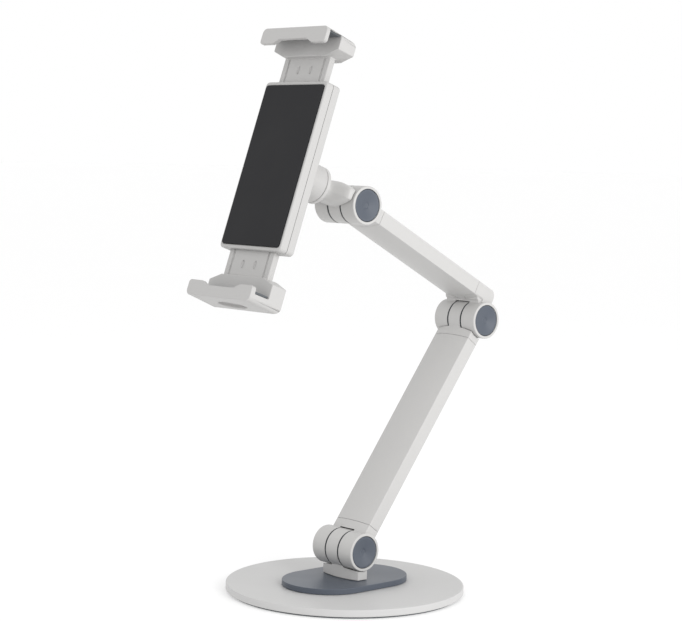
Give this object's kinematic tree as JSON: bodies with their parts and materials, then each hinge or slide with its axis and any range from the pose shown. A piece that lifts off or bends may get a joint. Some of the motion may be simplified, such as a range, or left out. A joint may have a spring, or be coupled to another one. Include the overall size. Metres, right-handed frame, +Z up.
{
  "type": "tablet stand",
  "caption": "Desk stand for a tablet: a round weighted base with a swivel, two flat folding arms on friction hinges and a turning head with a sprung jaw clamp.",
  "frame": {"origin": "centre of the foot pad's underside, on the base swivel's axis, at the desk's surface", "axes": "+Z up, -Y towards the user, which the clamp faces, +X along the hinge pins"},
  "size_m": [0.158, 0.2336, 0.3689],
  "materials": {
    "painted_arm": "satin off-white paint on aluminium",
    "painted_disc": "satin off-white powder coat on steel",
    "moulded_shell": "fine satin moulded surface",
    "blue_grey": "fine satin moulded surface",
    "dark_rubber": "matt",
    "grey_rubber": "matt",
    "zinc_steel": "zinc plated",
    "white_nylon": "smooth nylon",
    "dark_nylon": "smooth nylon"
  },
  "bodies": {
    "base": {"base_disc": "painted_disc", "foot_pad": "grey_rubber"},
    "turntable": {"swivel_plate": "blue_grey", "base_knuckle": "painted_arm", "swivel_bolt": "zinc_steel", "swivel_washer": "white_nylon", "swivel_spring_washer": "zinc_steel", "plate_screw_left": "zinc_steel", "plate_screw_right": "zinc_steel"},
    "lower_arm": {"lower_arm_fork": "painted_arm", "lower_arm_tube": "painted_arm", "lower_arm_tongue": "painted_arm", "lower_hinge_bolt": "zinc_steel", "lower_hinge_cap_left": "blue_grey", "lower_hinge_cap_right": "blue_grey", "lower_hinge_disc_spring": "zinc_steel", "lower_hinge_friction_washer_left": "dark_nylon", "lower_hinge_friction_washer_right": "dark_nylon", "lower_hinge_nut": "zinc_steel"},
    "upper_arm": {"upper_arm_elbow_fork": "painted_arm", "upper_arm_tube": "painted_arm", "upper_arm_head_fork": "painted_arm", "elbow_hinge_bolt": "zinc_steel", "elbow_hinge_cap_left": "blue_grey", "elbow_hinge_cap_right": "blue_grey", "elbow_hinge_disc_spring": "zinc_steel", "elbow_hinge_friction_washer_left": "dark_nylon", "elbow_hinge_friction_washer_right": "dark_nylon", "elbow_hinge_nut": "zinc_steel", "head_hinge_bolt": "zinc_steel", "head_hinge_cap_left": "blue_grey", "head_hinge_cap_right": "blue_grey", "head_hinge_disc_spring": "zinc_steel", "head_hinge_friction_washer_left": "dark_nylon", "head_hinge_friction_washer_right": "dark_nylon", "head_hinge_nut": "zinc_steel"},
    "neck": {"swivel_neck": "painted_arm", "neck_bolt": "zinc_steel", "neck_spring_washer": "zinc_steel", "neck_friction_washer": "white_nylon"},
    "clamp": {"front_shell": "moulded_shell", "back_shell": "moulded_shell", "rest_pad": "dark_rubber", "pinion_pin": "zinc_steel", "upper_jaw_spring": "zinc_steel", "lower_jaw_spring": "zinc_steel", "shell_screw_bottom_left": "zinc_steel", "shell_screw_bottom_right": "zinc_steel", "shell_screw_top_left": "zinc_steel", "shell_screw_top_right": "zinc_steel"},
    "pinion": {"pinion": "white_nylon"},
    "upper_jaw": {"upper_jaw": "moulded_shell", "upper_jaw_lining": "grey_rubber"},
    "lower_jaw": {"lower_jaw": "moulded_shell", "lower_jaw_lining": "grey_rubber"}
  },
  "joints": [
    {"name": "base_swivel", "type": "hinge", "parent": "base", "child": "turntable", "pos_m": [0, 0, 0], "axis": [0, 0, 1], "continuous": true},
    {"name": "lower_hinge", "type": "hinge", "parent": "turntable", "child": "lower_arm", "pos_m": [0, 0, 0.029], "axis": [1, 0, 0], "range_deg": [-50, 36]},
    {"name": "elbow_hinge", "type": "hinge", "parent": "lower_arm", "child": "upper_arm", "pos_m": [0, 0.10893, 0.17729], "axis": [1, 0, 0], "range_deg": [-90, 25]},
    {"name": "head_tilt", "type": "hinge", "parent": "upper_arm", "child": "neck", "pos_m": [0, -0.00436, 0.25674], "axis": [1, 0, 0], "range_deg": [-80, 40]},
    {"name": "clamp_rotation", "type": "hinge", "parent": "neck", "child": "clamp", "pos_m": [0, -0.06961, 0.28221], "axis": [0, 0.9444, -0.3289], "continuous": true},
    {"name": "upper_jaw_slide", "type": "slide", "parent": "clamp", "child": "upper_jaw", "axis": [0, 0.3289, 0.9444], "range_m": [-0.0145, 0.026], "deforming": ["upper_jaw_spring"]},
    {"name": "lower_jaw_slide", "type": "slide", "parent": "clamp", "child": "lower_jaw", "axis": [0, -0.3289, -0.9444], "range_m": [-0.0145, 0.026], "deforming": ["lower_jaw_spring"]},
    {"name": "pinion_spin", "type": "hinge", "parent": "clamp", "child": "pinion", "pos_m": [0, -0.06961, 0.28221], "axis": [0, 0.9444, -0.3289], "range_deg": [-139, 249]}
  ],
  "couplings": [
    {"joint": "lower_jaw_slide", "follows": "upper_jaw_slide", "ratio": 1},
    {"joint": "pinion_spin", "follows": "upper_jaw_slide", "rad_per_m": 166.67}
  ]
}
